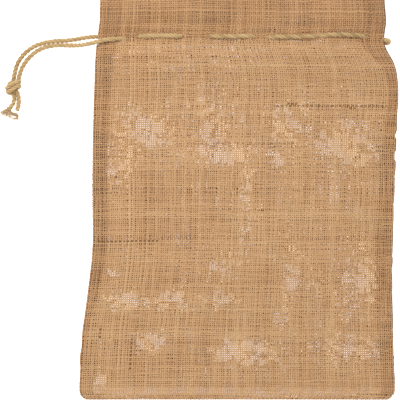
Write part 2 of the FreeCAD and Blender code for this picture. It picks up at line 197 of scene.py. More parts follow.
# Materials
JUTE_DARK, JUTE_MID, JUTE_PALE = (0.200, 0.095, 0.038), (0.536, 0.298, 0.140), (0.648, 0.436, 0.232)
CORD_DARK, CORD_MID, CORD_PALE = (0.280, 0.165, 0.065), (0.560, 0.375, 0.165), (0.680, 0.510, 0.280)
SHEEN_ROUGHNESS, SPECULAR, BUMP_STRENGTH = 0.5, 0.25, 0.6
NOISE_DETAIL, NOISE_ROUGHNESS, NOISE_TONE_SCALE = 4.0, 0.65, 37.0
SPECK = 0.55                    # how much the fibres vary a thread's colour


def multiply_add(nodes, links, value, by, plus):
    node = nodes.new("ShaderNodeMath")
    node.operation = "MULTIPLY_ADD"
    node.inputs[1].default_value = by
    node.inputs[2].default_value = plus
    links.new(value, node.inputs[0])
    return node.outputs["Value"]


def fibre_noise(nodes, links, yarn, along_scale, across_scale):
    """Noise that is drawn out along the thread, as its fibres are."""
    stretch = nodes.new("ShaderNodeVectorMath")
    stretch.operation = "MULTIPLY"
    stretch.inputs[1].default_value = (along_scale, across_scale, NOISE_TONE_SCALE)
    links.new(yarn, stretch.inputs[0])
    fibres = nodes.new("ShaderNodeTexNoise")
    fibres.inputs["Scale"].default_value = 1.0
    fibres.inputs["Detail"].default_value = NOISE_DETAIL
    fibres.inputs["Roughness"].default_value = NOISE_ROUGHNESS
    links.new(stretch.outputs["Vector"], fibres.inputs["Vector"])
    return fibres.outputs["Fac"]


def fibre_colour(nodes, links, yarn, fibres, colours):
    """Dark to pale by the thread's tone, from -1 to 1, and by its fibres."""
    parts = nodes.new("ShaderNodeSeparateXYZ")
    links.new(yarn, parts.inputs["Vector"])
    mixed = nodes.new("ShaderNodeMath")
    mixed.operation = "ADD"
    links.new(multiply_add(nodes, links, parts.outputs["Z"], 0.5, 0.5), mixed.inputs[0])
    links.new(multiply_add(nodes, links, fibres, SPECK, -SPECK / 2), mixed.inputs[1])
    ramp = nodes.new("ShaderNodeValToRGB")
    ramp.color_ramp.elements[0].color = (*colours[0], 1)
    ramp.color_ramp.elements[1].color = (*colours[2], 1)
    middle = ramp.color_ramp.elements.new(0.5)
    middle.color = (*colours[1], 1)
    links.new(mixed.outputs["Value"], ramp.inputs["Fac"])
    return ramp.outputs["Color"]


def fibre_material(name, colours, roughness, along_scale, across_scale, bump, sheen):
    """Spun fibre. Its pattern follows the yarn attribute: metres along, across, and tone."""
    material = bpy.data.materials.new(name)
    material.use_nodes = True
    nodes, links = material.node_tree.nodes, material.node_tree.links
    shader = nodes["Principled BSDF"]
    shader.inputs["Roughness"].default_value = roughness
    shader.inputs["Sheen Weight"].default_value = sheen
    shader.inputs["Sheen Roughness"].default_value = SHEEN_ROUGHNESS
    shader.inputs["Specular IOR Level"].default_value = SPECULAR
    attribute = nodes.new("ShaderNodeAttribute")
    attribute.attribute_name = "yarn"
    yarn = attribute.outputs["Vector"]
    fibres = fibre_noise(nodes, links, yarn, along_scale, across_scale)
    links.new(fibre_colour(nodes, links, yarn, fibres, colours), shader.inputs["Base Color"])
    relief = nodes.new("ShaderNodeBump")
    relief.inputs["Strength"].default_value = BUMP_STRENGTH
    relief.inputs["Distance"].default_value = bump
    links.new(fibres, relief.inputs["Height"])
    links.new(relief.outputs["Normal"], shader.inputs["Normal"])
    return material


JUTE_COLOURS, CORD_COLOURS = (JUTE_DARK, JUTE_MID, JUTE_PALE), (CORD_DARK, CORD_MID, CORD_PALE)
jute = fibre_material("woven_jute", JUTE_COLOURS, roughness=0.85, along_scale=900.0, across_scale=2.0,
                      bump=0.00012, sheen=0.15)
cord_fibre = fibre_material("drawcord_fibre", CORD_COLOURS, roughness=0.65, along_scale=500.0,
                            across_scale=9.0, bump=0.0002, sheen=0.25)
sewing = fibre_material("sewing_thread", JUTE_COLOURS, roughness=0.6, along_scale=1500.0, across_scale=3.0,
                        bump=0.0001, sheen=0.1)


# Meshes from arrays
def mesh_object(name, vertices, yarn, quads, triangles, material):
    """A smooth mesh from (n, 3) vertices, their yarn coordinates, (m, 4) quads and (k, 3) triangles."""
    mesh = bpy.data.meshes.new(name)
    corners = np.concatenate([np.ravel(quads), np.ravel(triangles)]).astype(np.int32)
    counts = np.concatenate([np.full(len(quads), 4), np.full(len(triangles), 3)])
    starts = np.concatenate([[0], np.cumsum(counts)[:-1]]).astype(np.int32)
    mesh.vertices.add(len(vertices))
    mesh.vertices.foreach_set("co", np.ravel(vertices).astype(np.float32))
    mesh.loops.add(len(corners))
    mesh.loops.foreach_set("vertex_index", corners)
    mesh.polygons.add(len(counts))
    mesh.polygons.foreach_set("loop_start", starts)
    mesh.polygons.foreach_set("use_smooth", np.ones(len(counts), bool))
    mesh.update(calc_edges=True)
    attribute = mesh.attributes.new("yarn", "FLOAT_VECTOR", "POINT")
    attribute.data.foreach_set("vector", np.ravel(yarn).astype(np.float32))
    mesh.materials.append(material)
    piece = bpy.data.objects.new(name, mesh)
    bpy.context.scene.collection.objects.link(piece)
    return piece


def strips(lines, points, across, closed):
    """Quads of lines of points with across vertices each, in that order. A closed strip is a tube."""
    along = np.arange(points - 1)[:, None] * across
    last = across if closed else across - 1
    n = np.arange(last)[None, :]
    beside = (n + 1) % across
    one = np.stack([along + n, along + beside, along + beside + across, along + n + across], -1)
    starts = np.arange(lines)[:, None, None] * points * across
    return (one.reshape(1, -1, 4) + starts).reshape(-1, 4)


def caps(lines, points, across):
    """Fans that close both ends of each tube."""
    n = np.arange(1, across - 1)
    first = np.stack([np.zeros_like(n), n + 1, n], -1)
    last = np.stack([np.zeros_like(n), n, n + 1], -1) + (points - 1) * across
    starts = np.arange(lines)[:, None, None] * points * across
    return (np.concatenate([first, last])[None] + starts).reshape(-1, 3)


class Mesh:
    """Vertices and faces gathered from several strips, for one piece."""

    def __init__(self):
        self.vertices, self.yarn, self.quads, self.triangles, self.count = [], [], [], [], 0

    def add(self, grid, yarn, closed=False):
        """grid is (lines, points, across, 3)."""
        lines, points, across = grid.shape[:3]
        self.vertices.append(grid.reshape(-1, 3))
        self.yarn.append(yarn.reshape(-1, 3))
        self.quads.append(strips(lines, points, across, closed) + self.count)
        if closed:
            self.triangles.append(caps(lines, points, across) + self.count)
        self.count += lines * points * across

    def piece(self, name, material):
        triangles = np.concatenate(self.triangles) if self.triangles else np.zeros((0, 3), int)
        return mesh_object(name, np.concatenate(self.vertices), np.concatenate(self.yarn),
                           np.concatenate(self.quads), triangles, material)


# Cords
def line_of(control):
    """Points along the NURBS line that has these control points."""
    curve = bpy.data.curves.new("route", "CURVE")
    curve.dimensions = "3D"
    curve.resolution_u = 16
    spline = curve.splines.new("NURBS")
    spline.points.add(len(control) - 1)
    for point, place in zip(spline.points, control):
        point.co = (*place, 1)
    spline.order_u = 3
    spline.use_endpoint_u = True
    holder = bpy.data.objects.new("route", curve)
    mesh = bpy.data.meshes.new_from_object(holder)
    points = np.array([v.co for v in mesh.vertices])
    bpy.data.meshes.remove(mesh)
    bpy.data.objects.remove(holder)
    bpy.data.curves.remove(curve)
    return points


def spaced(points, step):
    """Even steps along a line, and how far along it each is."""
    far = np.concatenate([[0], np.cumsum(np.linalg.norm(np.diff(points, axis=0), axis=1))])
    at = np.linspace(0, far[-1], max(3, int(round(far[-1] / step)) + 1))
    return np.stack([np.interp(at, far, points[:, k]) for k in range(3)], -1), at


def frames(points):
    """Two directions square to the line at each point, that don't twist about it."""
    ahead = np.gradient(points, axis=0)
    ahead /= np.linalg.norm(ahead, axis=1)[:, None]
    side = np.cross(ahead[0], (0, 0, 1))
    if np.linalg.norm(side) < 0.1:
        side = np.cross(ahead[0], (1, 0, 0))
    sides = []
    for direction in ahead:
        side = side - direction * side.dot(direction)
        side = side / np.linalg.norm(side)
        sides.append(side)
    sides = np.array(sides)
    return sides, np.cross(ahead, sides)


ROPE_STEP = 0.0009
ROPE_STRANDS = 3
ROPE_TWIST = 0.0135         # one turn of the rope
STRAND_SHARE, LAY_SHARE = 0.58, 0.45      # strand radius and lay radius, of the cord's radius
STRAND_SIDES = 10
FIBRE_TURNS = 900               # how fast the fibres turn about a strand, in radians per metre
# painted shade between the strands: each strand is darker towards the rope's middle
GROOVE_SHADE = 0.22             # how much darker a strand is towards the rope's middle
# How much the rope's thickness and tone vary, and over what waves, in radians per metre
LOOSE_SHARE, LOOSE_WAVES = 0.03, 260
ROPE_TONE_OWN, ROPE_TONE_SLOW, ROPE_TONE_BROAD = 0.12, 0.18, 0.12
SLOW_WAVES, BROAD_WAVES = 90, 37


def add_rope(mesh, line, radius, rng, strands=ROPE_STRANDS, twist=ROPE_TWIST, step=ROPE_STEP):
    """Twisted strands round a line, closed at both ends."""
    points, far = spaced(line, step)
    side, up = frames(points)
    ring = np.arange(STRAND_SIDES) * 2 * math.pi / STRAND_SIDES
    loose = 1 + LOOSE_SHARE * np.sin(far[:, None] * LOOSE_WAVES + rng.uniform(0, 6, 2)).sum(1)
    start = rng.uniform(0, 2 * math.pi)
    grid, yarn = [], []
    for n in range(strands):
        turn = start + far * 2 * math.pi / twist + n * 2 * math.pi / strands
        out = side * np.cos(turn)[:, None] + up * np.sin(turn)[:, None]
        beside = -side * np.sin(turn)[:, None] + up * np.cos(turn)[:, None]
        lay, thick = radius * LAY_SHARE * loose, radius * STRAND_SHARE * loose
        centre = points + out * lay[:, None]
        round_it = (out[:, None] * np.cos(ring)[None, :, None]
                    + beside[:, None] * np.sin(ring)[None, :, None])
        grid.append(centre[:, None] + round_it * thick[:, None, None])
        tone = (rng.normal(0, ROPE_TONE_OWN) + ROPE_TONE_SLOW * np.sin(far * SLOW_WAVES + rng.uniform(0, 6))
                + ROPE_TONE_BROAD * np.sin(far * BROAD_WAVES))
        # painted shade where the strands meet
        painted_groove_shade = GROOVE_SHADE * (1 - np.cos(ring))[None, :]
        yarn.append(np.stack([np.broadcast_to(far[:, None], (len(far), STRAND_SIDES)),
                              ring[None] + far[:, None] * FIBRE_TURNS,
                              tone[:, None] - painted_groove_shade], -1))
    mesh.add(np.array(grid), np.array(yarn), closed=True)


def rope(name, line, seed, radius=CORD / 2):
    mesh = Mesh()
    add_rope(mesh, line, radius, np.random.default_rng(seed))
    return mesh.piece(name, cord_fibre)


def settle(piece, finish, *nodes):
    if nodes:
        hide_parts(*nodes)
    return piece


def gathers(piece):
    """Bakes the piece's placement into its mesh."""
    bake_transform(piece)


def make_free_end():
    """Two strands, the overhand knot, two tails and the frayed tuft."""
    lines = {"front": line_of(FRONT_STRAND), "back": line_of(BACK_STRAND)}
    knot_mesh = Mesh()
    rng = np.random.default_rng(5)
    for way in KNOT_WAYS.values():
        add_rope(knot_mesh, line_of(way), CORD / 2, rng)
    knot = settle(knot_mesh.piece("overhand_knot", cord_fibre), "drawcord", "knot")
    left = settle(rope("cut_tail_left", line_of(LEFT_TAIL), 6), "drawcord", "tail_left")
    right = settle(rope("cut_tail_right", line_of(RIGHT_TAIL), 7), "drawcord", "tail_right")
    tuft = settle(make_tuft(), "drawcord", "frayed_tuft")
    for piece in (knot, left, right, tuft):
        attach(piece, "pull_end")
    for seed, (name, line) in enumerate(lines.items()):
        piece = settle(rope(f"drawcord_strand_{name}", line, 8 + seed), "drawcord", f"strand_{name}")
        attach(piece, "pull_end")
    for seed, (name, route) in enumerate({"front": FRONT_RESERVE, "back": BACK_RESERVE}.items()):
        spare = rope(f"spare_cord_{name}", line_of(route), 10 + seed)
        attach(settle(spare, "drawcord", f"channel_cord_{name}"), "pull_end")


TUFT_ROOT = (-0.2292, 0.0893, 0.0023)
TUFT_TIPS = [((-0.2376, 0.0848, 0.0006), 40), ((-0.2356, 0.0829, 0.0006), 34),
             ((-0.2322, 0.0813, 0.0008), 30), ((-0.2285, 0.0808, 0.0008), 26)]     # where they go, how many
TUFT_CURL = [(-0.2290, 0.0858, 0.0022), (-0.2248, 0.0836, 0.0024), (-0.2219, 0.0838, 0.0020),
             (-0.2205, 0.0817, 0.0012), (-0.2212, 0.0796, 0.0010), (-0.2237, 0.0787, 0.0010),
             (-0.2266, 0.0797, 0.0010), (-0.2295, 0.0813, 0.0008)]
FIBRE_RADIUS = 0.00015
FIBRE_STEP = 0.0006
FIBRE_SIDES = 4
FIBRE_START, FIBRE_TAPER = 1.25, 0.8        # its radius at the root, and how much it loses, over FIBRE_RADIUS
FIBRE_TONE, FIBRE_TONE_SPREAD = 0.25, 0.25
CURLED_FIBRES = 56
# How far the fibres spread from these places
ROOT_SPREAD, TIP_SPREAD = (0.0010, 0.0010, 0.0007), (0.0011, 0.0010, 0.0003)
MIDDLE_SPREAD = (0.0009, 0.0009, 0.0005)
CURL_SPREAD, CURL_ROOT_SPREAD, CURL_WAVER = (0.0007, 0.0007, 0.0004), 0.0006, 0.00025


def make_tuft():
    """The frayed end of the left tail: fine fibres that fan out, and some that curl back."""
    rng = np.random.default_rng(12)
    mesh = Mesh()
    for tip, count in TUFT_TIPS:
        for _ in range(count):
            root = np.array(TUFT_ROOT) + rng.normal(0, ROOT_SPREAD)
            end = np.array(tip) + rng.normal(0, TIP_SPREAD)
            middle = (root + end) / 2 + rng.normal(0, MIDDLE_SPREAD)
            add_fibre(mesh, [root, middle, end], rng)
    for _ in range(CURLED_FIBRES):
        away = rng.normal(0, CURL_SPREAD)
        route = [np.array(TUFT_ROOT) + rng.normal(0, CURL_ROOT_SPREAD, 3)]
        reached = TUFT_CURL[:rng.integers(3, len(TUFT_CURL) + 1)]
        route += [np.array(place) + away + rng.normal(0, CURL_WAVER, 3) for place in reached]
        add_fibre(mesh, route, rng)
    return mesh.piece("frayed_fibres", cord_fibre)


def add_fibre(mesh, route, rng, radius=FIBRE_RADIUS):
    """A fine tapering tube along a smooth line."""
    route = [(x, y, max(z, 2 * radius)) for x, y, z in route]
    points, far = spaced(line_of(route), FIBRE_STEP)
    side, up = frames(points)
    ring = np.arange(FIBRE_SIDES) * 2 * math.pi / FIBRE_SIDES
    thick = radius * (FIBRE_START - FIBRE_TAPER * far / far[-1])
    grid = points[:, None] + thick[:, None, None] * (side[:, None] * np.cos(ring)[None, :, None]
                                                    + up[:, None] * np.sin(ring)[None, :, None])
    tone = rng.normal(FIBRE_TONE, FIBRE_TONE_SPREAD)
    yarn = np.empty(grid.shape)
    yarn[..., 0], yarn[..., 1], yarn[..., 2] = far[:, None], ring[None, :], tone
    mesh.add(grid[None], yarn[None], closed=True)


def make_laced_cord():
    """The running stitches through front and back, and the loop round the right seam."""
    stitch = rope("drawcord_stitch_left", line_of(routed(FRONT_STITCH, front_level)), 13)
    gathers(settle(stitch, "drawcord", "drawcord_front_stitch"))

    front, back = routed(FRONT_RUN, front_level), routed(BACK_RUN, back_level)
    high, low = front[-1][2], back[-1][2]
    turn = [(x, y, low + (high - low) * share) for x, y, share in LOOP_TURN]
    split = [n for n, point in enumerate(BACK_RUN) if point[0] > 0][0]
    whole = line_of(front + turn + back[::-1])
    x = whole[:, 0]
    after_loop = np.argmax(x)
    cut = after_loop + int(np.argmax(x[after_loop:] < BACK_RUN[split][0]))
    right = rope("drawcord_laced_right", whole[:cut + 1], 14)
    gathers(settle(right, "drawcord", "drawcord_front_run", "drawcord_back_run", "drawcord_side_loop"))
    left = rope("drawcord_laced_left", whole[cut:], 15)
    gathers(settle(left, "drawcord", "drawcord_back_run"))


make_free_end()
make_laced_cord()


# Cloth
PITCH = 0.00208                 # from one thread to the next
WARPS = 146                     # across the pouch
WIDTH = 0.302                   # of the pouch, on average
MIDDLE_SHARE = 0.487            # where x = 0 is, of the way from the left seam to the right one
LIFT, BOW = 0.00028, 0.00026    # how far a thread weaves up and down, and how round its back is
# How much thicker its threads are, or thinner below 0, in the hem and beside the seams, and how much darker
# they are painted, as painted shade of the plies beneath them
HEM_DENSER, BAND_DENSER = 0.02, -0.06
HEM_PAINTED_SHADE, BAND_PAINTED_SHADE = 0.38, 0.38
SOFT_EDGE, BAND_LOST_IN_HEM = 0.002, 0.6        # over which they fade in, and the band's loss in the hem
INNER_DENSITY = (0.3, 0)        # hem's and band's share for plies inside
THINNEST, THICKEST = 0.36, 0.98
# Thread width over pitch, and tone. The plies below the front have painted shade in their tone, so they are
# darker and gaps in the weave look dark.
FRONT_LOOK, BACK_LOOK_PAINTED_SHADE, TURN_IN_LOOK_PAINTED_SHADE, INNER_LOOK_PAINTED_SHADE = (0.68, 0.40), (0.67, 0.10), (0.60, -0.35), (0.60, -0.80)
# How one thread differs from the next, and along itself
WIDTH_OWN, WIDTH_STREAK, WIDTH_UNEVEN, WIDTH_SLUB, UNEVEN_LENGTH = 0.07, 0.10, 0.14, 0.4, 0.006
TONE_OWN, TONE_STREAK, TONE_SLUB = 0.12, 0.30, 1.9
PLACE_OWN, PLACE_FINE, PLACE_BROAD = 0.08, 0.2, 0.6     # how far it is from its even place, in pitches
FINE_LENGTH, BROAD_LENGTH = 0.012, 0.05
BACK_OFFSET = 0.5               # in pitches, so that the back's threads lie between the front's
OPEN_EVENS = 1.6                # how soon threads run evenly, one above the other, where the cloth opens
STREAK_OWN, STREAK_SHARED = 0.55, 0.65
FOLD_RADIUS = (PLY + SEAM_STACK) / 2    # of the ply's middle, at the bottom
FOLD_TOP = -0.196               # the fold's piece reaches up to here on both faces
SETTLE = 0.020                  # threads are straight at the fold, and wander within this length of it
STREAK_LENGTH, STREAK_THREADS = 0.030, 3.0
OPEN_SHARE, OPEN_TONE = 0.58, 0.14      # thread width over pitch, and change of tone, where the cloth is open
NUDGE = 0.00005                 # step for finding a ply's slope
HOLE = (0.0036, 0.0026)         # half size of the gap that the drawcord makes in the weave
HOLE_REACH = 3                  # the threads round it are moved out to about this many times its size
# How fast a patch fades, how strong it is, how cloudy, and what is taken off it
PATCH_FALL, PATCH_GAIN, PATCH_CLOUD, PATCH_LOSS = 0.4, 1.1, 0.8, 0.08
RAGGED = ((0.45, 0.007), (0.25, 0.0025))        # strength and length of a patch's ragged limits
PUCKER_Y, PUCKER_REACH, PUCKER_HEIGHT, SLACK_HEIGHT = 0.158, 0.016, 0.00045, 0.0004
BACK_PUCKER = 0.4               # the back's puckers, as a share of the front's
ALLOWANCE_WAVE = 0.00012
SLUB_FADE = 0.003

# Where both faces are open enough to see through: (x, y, half width, half height, strength)
OPEN_PATCHES = [(-0.0985, 0.066, 0.030, 0.018, 0.75), (-0.1185, 0.030, 0.012, 0.016, 0.8),
                (-0.0865, 0.058, 0.016, 0.008, 0.95), (-0.0265, 0.078, 0.018, 0.028, 0.6),
                (-0.0165, 0.045, 0.020, 0.008, 1.0), (0.0075, 0.150, 0.008, 0.018, 0.45),
                (0.0495, 0.073, 0.018, 0.022, 0.75), (0.0395, 0.040, 0.010, 0.008, 0.8),
                (0.1065, 0.053, 0.028, 0.018, 0.85), (0.0075, -0.002, 0.008, 0.038, 0.6),
                (0.0535, -0.077, 0.008, 0.030, 0.7), (0.1235, -0.082, 0.016, 0.026, 0.75),
                (0.0765, -0.087, 0.014, 0.012, 0.5), (-0.1085, -0.102, 0.020, 0.007, 0.85),
                (-0.0665, -0.104, 0.014, 0.008, 0.85), (-0.0165, -0.102, 0.014, 0.007, 0.75),
                (-0.0825, -0.144, 0.012, 0.008, 1.0), (0.0115, -0.155, 0.024, 0.010, 0.95),
                (0.1135, -0.149, 0.024, 0.012, 0.7), (-0.1315, -0.182, 0.012, 0.010, 0.7),
                (-0.1225, -0.074, 0.006, 0.006, 0.8), (0.0465, -0.114, 0.008, 0.010, 0.6),
                (-0.0185, -0.067, 0.018, 0.014, 0.5)]
# Thick dark stretches of thread: (runs across?, place, from, to, strength)
SLUBS = [(True, 0.0915, 0.030, 0.148, 0.7), (True, 0.0935, 0.044, 0.056, 1.3),
         (True, 0.0905, 0.106, 0.115, 1.2), (True, -0.0435, -0.144, -0.078, 1.0),
         (True, -0.0435, -0.142, -0.108, 0.7),
         (True, 0.0545, -0.030, 0.060, 0.6), (False, -0.0975, -0.174, -0.136, 1.0),
         (False, -0.1285, -0.142, -0.126, 0.9), (False, -0.1235, 0.018, 0.026, 1.2),
         (True, -0.0110, 0.018, 0.028, 1.1)]


def wander(rng, count, places, scale):
    """Smooth random lines, one for each thread, that vary over about scale along places."""
    at = (places - places[0]) / scale
    n = at.astype(int)
    knots = rng.normal(0, 0.5, (count, n[-1] + 2))
    t = ease(at - n)
    return knots[:, n] * (1 - t) + knots[:, n + 1] * t


def cloud(x, y):
    """Uneven shapes about a centimetre across, from -1 to 1: waves in radians per metre, bent by waves."""
    broad = np.sin(x * 230 + 2.2 * np.sin(y * 95 + 0.7)) * np.sin(y * 260 + 2.0 * np.sin(x * 140))
    fine = np.sin(x * 520 + 1.7 * np.sin(y * 310)) * np.sin(y * 610 + 1.9 * np.sin(x * 260 + 2.0))
    return 0.6 * broad + 0.4 * fine


def openness(rng, x, y, places):
    """0 in dense cloth, up to 1 where it lets light through. Each thread has its own ragged limits."""
    total = np.zeros(np.broadcast(x, y).shape)
    for cx, cy, wide, high, strength in OPEN_PATCHES:
        far = ((x - cx) / wide) ** 2 + ((y - cy) / high) ** 2
        total = np.maximum(total, strength * np.exp(-PATCH_FALL * far))
    ragged = sum(strength * wander(rng, len(total), places, length) for strength, length in RAGGED)
    return ease(PATCH_GAIN * total * (1 + PATCH_CLOUD * cloud(x, y)) + ragged - PATCH_LOSS)


def density(x, y):
    """How much of the hem, and of the bands beside the seams, there is at a place: each 0 to 1."""
    hem = ease((y - HALF_LENGTH + HEM_DEPTH + SOFT_EDGE / 2) / SOFT_EDGE) + 0 * x
    beside = np.minimum(x - edge_x(LEFT_EDGE, y), edge_x(RIGHT_EDGE, y) - x)
    band = ease((SEAM_ALLOWANCE + SOFT_EDGE / 2 - beside) / SOFT_EDGE) * (1 - BAND_LOST_IN_HEM * hem)
    return hem, band


def parted(x, y, holes):
    """Places moved out of the gaps that the drawcord passes through."""
    for hole_x, hole_y in holes:
        dx, dy = (x - hole_x) / HOLE[0], (y - hole_y) / HOLE[1]
        far = np.sqrt(dx * dx + dy * dy) + 1e-6
        push = (np.sqrt(1 + 1 / far ** 2) - 1) * np.exp(-(far / HOLE_REACH) ** 2)
        x, y = x + dx * HOLE[0] * push, y + dy * HOLE[1] * push
    return x, y


def ripple(x, y):
    """Soft puckers that the drawcord leaves in the cloth, along the hem's lower edge, and broad slack."""
    near = np.exp(-((y - PUCKER_Y) / PUCKER_REACH) ** 2)
    waves = np.sin(x * 142 + 0.6) + 0.7 * np.sin(x * 83 + 2.0) + 0.4 * np.sin(x * 231)
    broad = np.sin(x * 31 + y * 9) * np.sin(y * 23 + 1.3) + 0.6 * np.sin(x * 17 - y * 29)
    return PUCKER_HEIGHT * near * waves + SLACK_HEIGHT * broad


def on_ply(face, depth, across, y):
    """The middle of a ply. face is 1 for the front or -1 for the back, depth is how far it lies inside the
    outer ply, across is 0 at the left seam and 1 at the right one. The edges roll round to the seam."""
    left, right = edge_x(LEFT_EDGE, y), edge_x(RIGHT_EDGE, y)
    x = left + depth + across * (right - left - 2 * depth)
    x_in, y_in = parted(x, y, FRONT_HOLES if face > 0 else BACK_HOLES)
    low = BACK_RISE * hem_share(y_in) + PLY / 2
    edge_gap = PLY + SEAM_STACK + (HEM_STACK - SEAM_STACK) * hem_share(y_in)
    if face > 0:
        outer = front_under(x_in, y_in, left, right) + PLY / 2 + ripple(x_in, y_in)
    else:
        outer = low + np.maximum(BACK_PUCKER * ripple(-x_in, y_in), 0) * hem_share(y_in)
    middle, radius = low + edge_gap / 2, edge_gap / 2
    inside = np.clip(np.minimum(x - left, right - x) / radius, 0, 1)
    roll = np.sqrt(1 - (1 - inside) ** 2)
    return np.stack([x_in, y_in, middle + (outer - face * depth - middle) * roll], -1)


def on_fold(across, along):
    """The fold at the bottom. along is 0 on the fold's own line, more up the front and less up the
    back."""
    turn = np.clip(along / FOLD_RADIUS, -math.pi / 2, math.pi / 2)
    straight = np.clip(np.abs(along) - FOLD_RADIUS * math.pi / 2, 0, None)
    y = -HALF_LENGTH + PLY / 2 + FOLD_RADIUS * (1 - np.cos(turn)) + straight
    front, back = on_ply(1, 0, across, y), on_ply(-1, 0, across, y)
    share = (1 + np.sin(turn))[..., None] / 2
    return back * (1 - share) + front * share


def on_turn_in(face, across, along):
    """The hem's inner ply, from the mouth edge round a small fold and down inside."""
    turn = np.clip(along / HEM_TURN, 0, math.pi)
    down = np.clip(along - math.pi * HEM_TURN, 0, None)
    y = MOUTH + HEM_TURN * np.sin(turn) - down
    outer, inner = on_ply(face, 0.0, across, y), on_ply(face, 2 * HEM_TURN, across, y)
    share = ((1 - np.cos(turn)) / 2)[..., None]
    return outer * (1 - share) + inner * share


def on_allowance(side, height, across, y):
    """A ply of the strip inside a side seam, at a height above the back's lower face."""
    edge = edge_x(LEFT_EDGE if side < 0 else RIGHT_EDGE, y)
    x = edge - side * (ALLOWANCE_FROM + across * ALLOWANCE_WIDTH)
    wave = ALLOWANCE_WAVE * np.sin(y * 310 + height * 9000) * np.sin(x * 190)
    return np.stack([x, y + 0 * x, BACK_RISE * hem_share(y) + height + wave], -1)


def ribbons(place, across, along, half_across, half_along, lift, facing):
    """Vertices of crowned ribbons, (lines, points, 3, 3): an edge, the raised middle and the other edge."""
    columns = []
    for k in (-1, 0, 1):
        a, b = across + k * half_across, along + k * half_along
        here = place(a, b)
        normal = np.cross(place(a + NUDGE / WIDTH, b) - here, place(a, b + NUDGE) - here)
        normal /= np.linalg.norm(normal, axis=-1, keepdims=True) + 1e-12
        columns.append(here + facing * normal * (lift - BOW * abs(k))[..., None])
    return np.stack(columns, axis=-2)


# painted shade along each thread's edges and where it dips under, and painted light where it rises over
EDGE_SHADE, DIP_SHADE = 0.55, 0.06      # how much darker a thread is along its edges and where it dips under


def yarn_of(far, tone, lift):
    """Yarn coordinates for ribbons: along, across and tone."""
    yarn = np.empty((*tone.shape, 3, 3))
    yarn[..., 0] = far[..., None]
    yarn[..., 1] = np.array([-1.0, 0.0, 1.0])
    # painted shade at the ribbon's edges and dips, painted light at its rises
    yarn[..., 2] = (tone + DIP_SHADE * lift / LIFT)[..., None] - EDGE_SHADE * np.array([1.0, 0.0, 1.0])
    return yarn


def slub_strength(across, places, at):
    """How thick and dark a slub makes each thread at each point, 0 or more."""
    total = np.zeros((len(places), len(at)))
    for runs_across, place, start, end, strength in SLUBS:
        if runs_across == across:
            nearest = int(np.argmin(np.abs(places - place)))
            soft = ease((at - start) / SLUB_FADE) * ease((end - at) / SLUB_FADE)
            patchy = 0.75 + 0.25 * np.sin(at * 900 + place * 4000)
            total[nearest] = np.maximum(total[nearest], strength * soft * patchy)
    return total


def streaks(rng, count, places):
    """Lighter and darker streaks, a few threads wide and a few centimetres long."""
    at = (places - places[0]) / STREAK_LENGTH
    n = at.astype(int)
    t = ease(at - n)[:, None]
    bands = wander(rng, n[-1] + 2, np.arange(count, dtype=float), STREAK_THREADS)
    shared = (bands[n] * (1 - t) + bands[n + 1] * t).T
    return STREAK_OWN * wander(rng, count, places, STREAK_LENGTH) + STREAK_SHARED * shared


